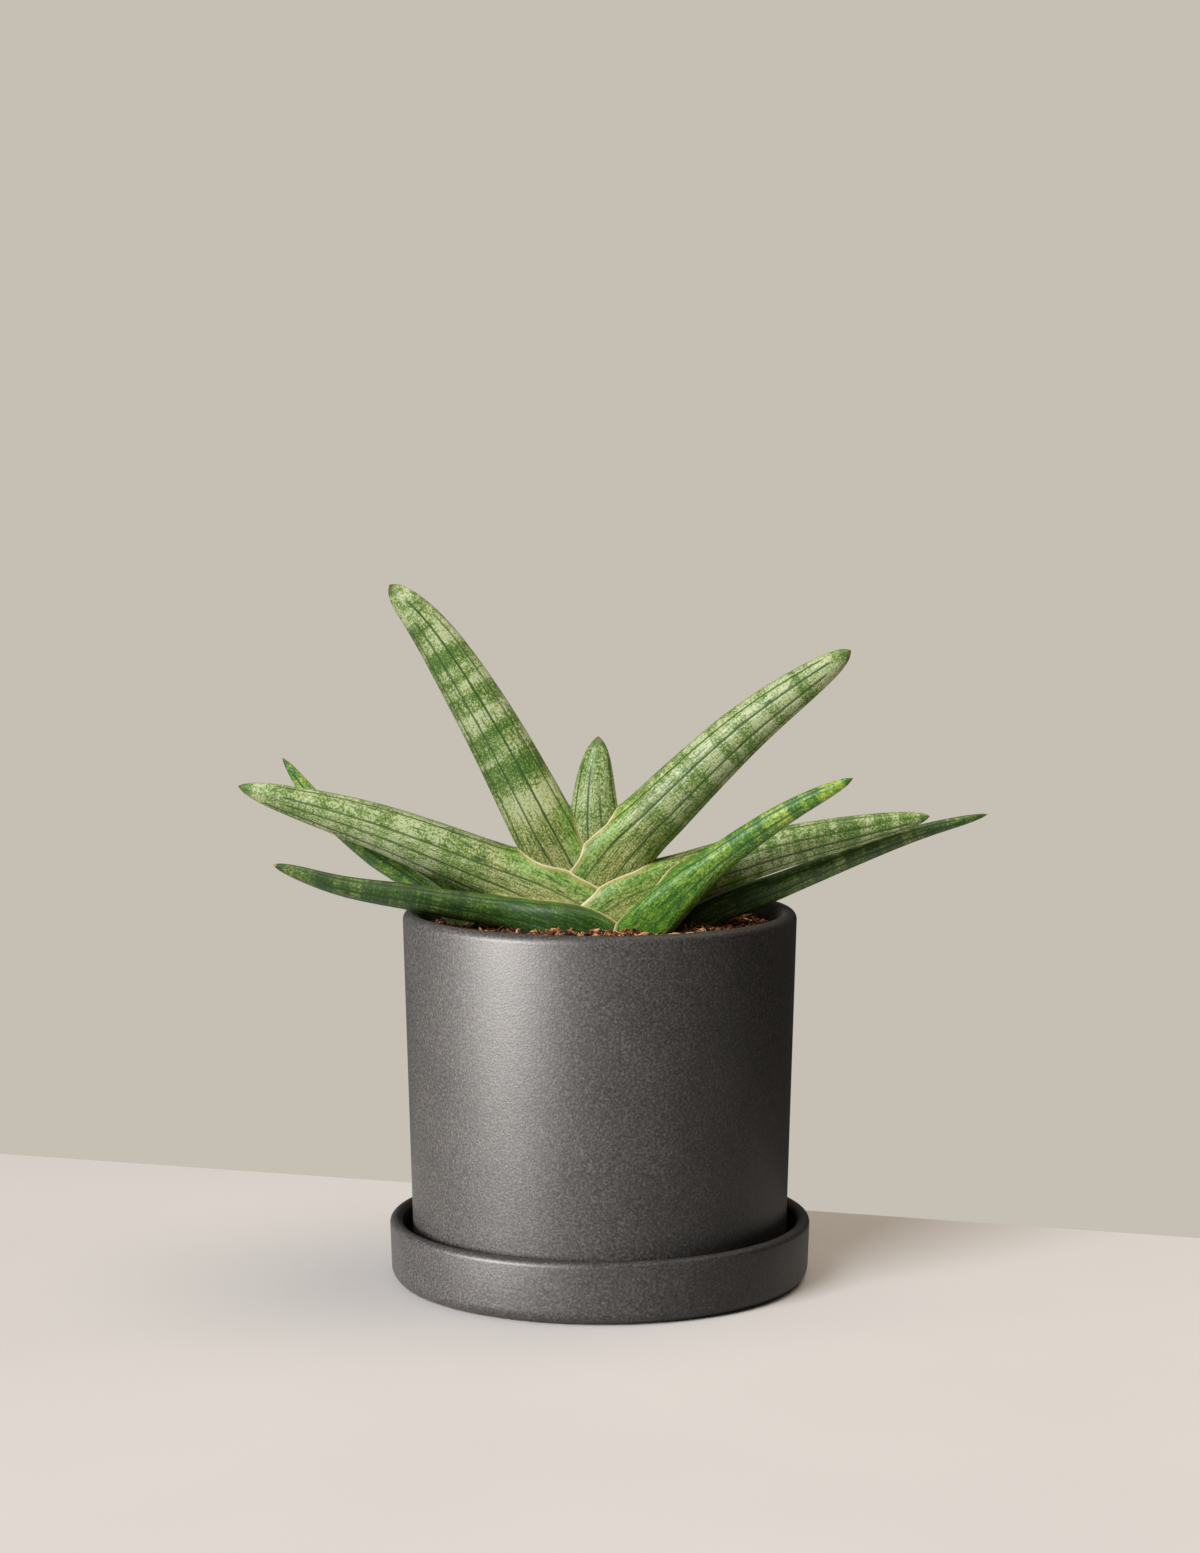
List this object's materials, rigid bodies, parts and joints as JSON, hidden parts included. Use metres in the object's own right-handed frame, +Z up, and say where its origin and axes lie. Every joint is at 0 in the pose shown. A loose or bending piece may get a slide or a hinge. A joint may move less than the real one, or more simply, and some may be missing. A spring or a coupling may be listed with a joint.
{
  "type": "cylindrical snake plant in a pot with its saucer",
  "caption": "Fan of thick, round, grooved snake plant leaves growing from bark mix in a dark stoneware cylinder pot that stands in a low saucer.",
  "frame": {"origin": "middle of the saucer's flat underside, on the pot's axis, at table level", "axes": "+Z up along the pot's axis, +X along the fan of leaves to the right, +Y away from the side that shows the fan"},
  "size_m": [0.267, 0.1502, 0.2472],
  "materials": {
    "stoneware": "dark warm grey satin glaze, finely speckled",
    "potting_mix": "loose damp coir and bark, matte",
    "rhizome": "pale, matte, fleshy",
    "pale_leaf": "firm succulent skin, pale grey-green with darker bands and grooves, waxy satin",
    "dark_leaf": "firm succulent skin, deep green with lighter bands, waxy satin"
  },
  "bodies": {
    "root": {"saucer": "stoneware", "pot": "stoneware", "potting_mix": "potting_mix", "rhizome": "rhizome", "leaf_heart": "pale_leaf", "leaf_upper_left": "pale_leaf", "leaf_upper_right": "pale_leaf", "leaf_left": "pale_leaf", "leaf_right": "pale_leaf", "leaf_lower_left": "dark_leaf", "leaf_front_right": "dark_leaf", "leaf_back_left": "dark_leaf", "leaf_lower_right": "dark_leaf"}
  },
  "joints": []
}
